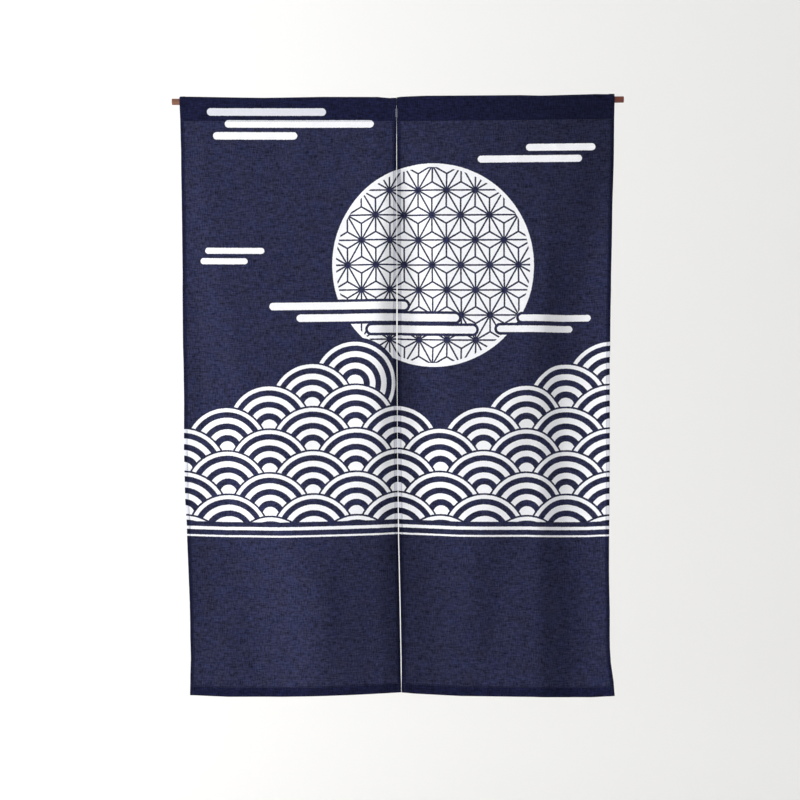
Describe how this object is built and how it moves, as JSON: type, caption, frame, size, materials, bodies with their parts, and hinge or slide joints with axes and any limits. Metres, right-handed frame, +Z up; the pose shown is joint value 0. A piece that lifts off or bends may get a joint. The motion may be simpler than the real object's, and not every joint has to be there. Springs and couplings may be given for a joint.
{
  "type": "noren curtain with rod",
  "caption": "Split indigo cloth noren curtain hanging on a plain round wooden rod, with a sewn casing, narrow hems and soft hanging folds.",
  "frame": {"origin": "middle of the straight line between the centres of the rod's end faces", "axes": "+X along the rod to the right as seen from the front, +Y towards the back, +Z up"},
  "size_m": [0.91, 0.0686, 1.2145],
  "materials": {
    "indigo_cloth": "coarse slubby plain weave, matt, dyed deep indigo with undyed white areas",
    "rod_wood": "smooth reddish brown stain with a low satin sheen"
  },
  "bodies": {
    "root": {"panel_left": "indigo_cloth", "panel_right": "indigo_cloth", "rod": "rod_wood"}
  },
  "joints": []
}
